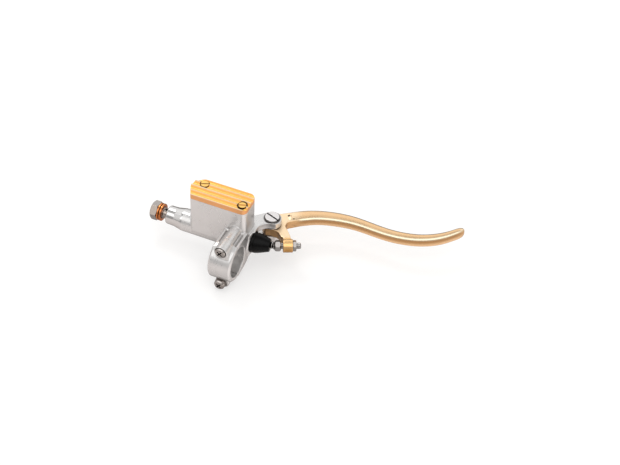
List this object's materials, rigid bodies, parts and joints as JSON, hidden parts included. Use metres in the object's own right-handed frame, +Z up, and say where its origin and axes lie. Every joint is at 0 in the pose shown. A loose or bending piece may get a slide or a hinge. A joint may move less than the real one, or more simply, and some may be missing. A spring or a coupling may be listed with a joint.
{
  "type": "brake master cylinder",
  "caption": "Handlebar-clamped hydraulic brake master cylinder with integral reservoir, ribbed cover, curved hand lever, adjustable pushrod and banjo outlet.",
  "frame": {"origin": "centre of the handlebar clamp bore, at mid width of the clamp", "axes": "+X along the handlebar towards the lever tip, +Y forward away from the rider, +Z up, parallel to the lever pivot"},
  "size_m": [0.2388, 0.1276, 0.0617],
  "materials": {
    "cast_aluminium": "satin, fine brushed with polished round parts",
    "brass_cover": "polished ribbed brass",
    "brass_lever": "satin brushed pale brass",
    "stainless": "machined stainless",
    "chrome": "bright plated",
    "copper": "bright annealed copper",
    "boot_rubber": "matte black",
    "seal_rubber": "smooth black",
    "bronze": "sintered bronze",
    "piston_alloy": "anodised",
    "spring_steel": "drawn wire"
  },
  "bodies": {
    "housing": {"master_cylinder_body": "cast_aluminium", "reservoir_cover": "brass_cover", "reservoir_diaphragm": "seal_rubber", "splash_plate": "stainless", "cover_screws": "brass_cover", "clamp_cap": "cast_aluminium", "clamp_screws": "stainless", "clamp_washers": "stainless", "banjo_bolt": "stainless", "banjo_washers": "copper", "pivot_screw": "stainless", "pivot_nut": "stainless", "stop_washer": "stainless", "circlip": "spring_steel", "dust_boot": "boot_rubber", "return_spring": "spring_steel"},
    "lever": {"brake_lever": "brass_lever", "lever_bush": "bronze", "lever_shims": "stainless", "adjuster_screw": "chrome", "adjuster_locknut": "chrome"},
    "pushrod": {"pushrod": "chrome"},
    "piston": {"piston": "piston_alloy", "primary_cup": "seal_rubber", "secondary_cup": "seal_rubber", "spring_seat": "piston_alloy", "cup_washer": "stainless"}
  },
  "joints": [
    {"name": "lever_pivot", "type": "hinge", "parent": "housing", "child": "lever", "pos_m": [0.0174, 0.0479, 0], "axis": [0, 0, -1], "range_deg": [0, 22], "stiffness_Nm_per_rad": 0.6, "deforming": ["dust_boot"]},
    {"name": "pushrod_tilt", "type": "hinge", "parent": "lever", "child": "pushrod", "pos_m": [0.02858, 0.02962, 0], "axis": [0, 0, -1], "range_deg": [-15.87, 0]},
    {"name": "piston_slide", "type": "slide", "parent": "housing", "child": "piston", "axis": [-1, 0, 0], "range_m": [0, 0.00802], "deforming": ["return_spring"]}
  ],
  "couplings": [
    {"joint": "piston_slide", "follows": "lever_pivot", "m_per_rad": 0.02037},
    {"joint": "pushrod_tilt", "follows": "lever_pivot", "ratio": -0.6988}
  ]
}
